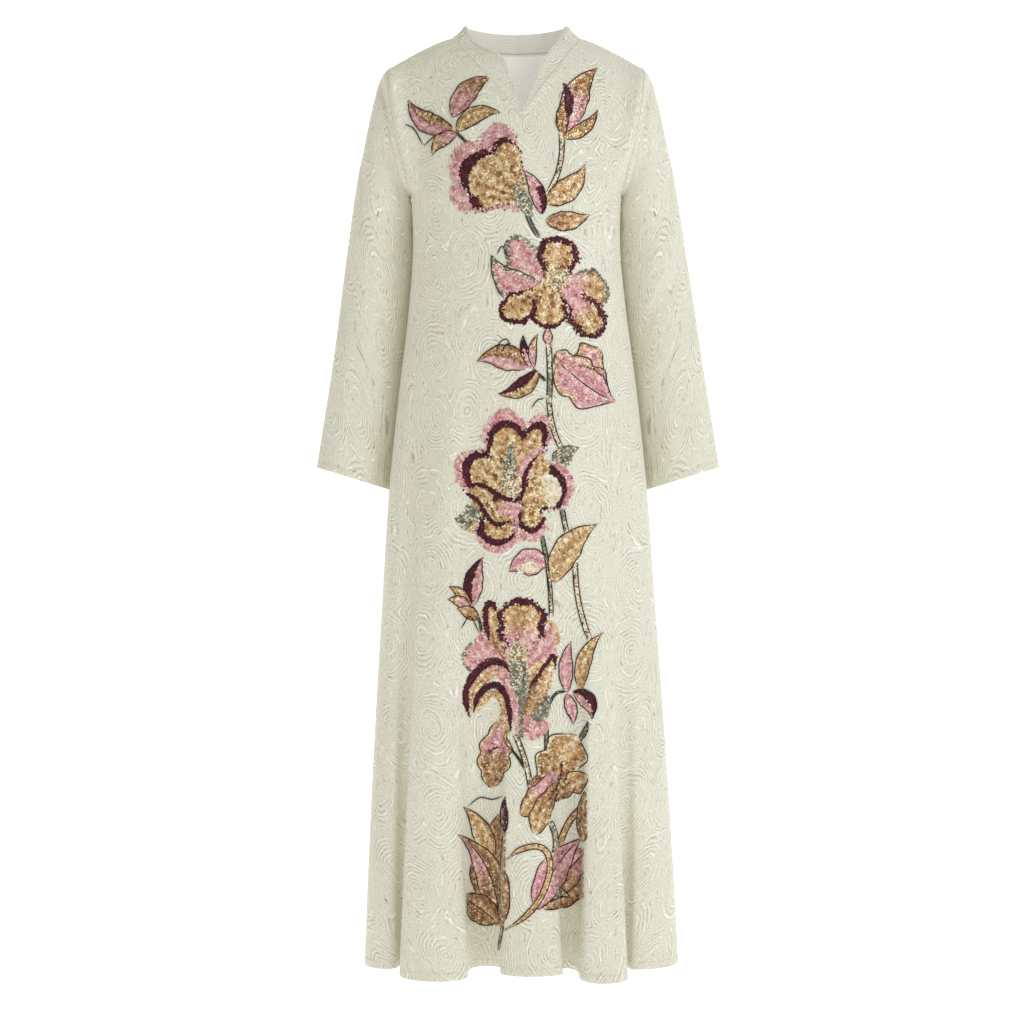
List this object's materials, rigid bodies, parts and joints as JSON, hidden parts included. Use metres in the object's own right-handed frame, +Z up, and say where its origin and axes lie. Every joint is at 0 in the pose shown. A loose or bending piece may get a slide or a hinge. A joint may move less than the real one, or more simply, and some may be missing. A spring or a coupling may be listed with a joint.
{
  "type": "abaya",
  "caption": "Long hollow A-line abaya with straight sleeves, a stand collar open in a narrow V, a fluted hem and a climbing spray of sequined blossoms on the front",
  "frame": {"origin": "middle of the neck opening at the height of the neck seam, where the wearer's neck or a hanger's hook comes out", "axes": "+Z up, the front with the flowers faces -Y, +X is the wearer's left"},
  "size_m": [0.594, 0.2568, 1.3797],
  "materials": {
    "jacquard": "ivory woven jacquard with raised rose whorls in shiny thread",
    "satin_lining": "smooth white satin"
  },
  "bodies": {
    "root": {"front_panel": "jacquard", "back_panel": "jacquard", "sleeve_left": "jacquard", "sleeve_right": "jacquard", "collar_band": "jacquard", "back_lining": "satin_lining"}
  },
  "joints": []
}
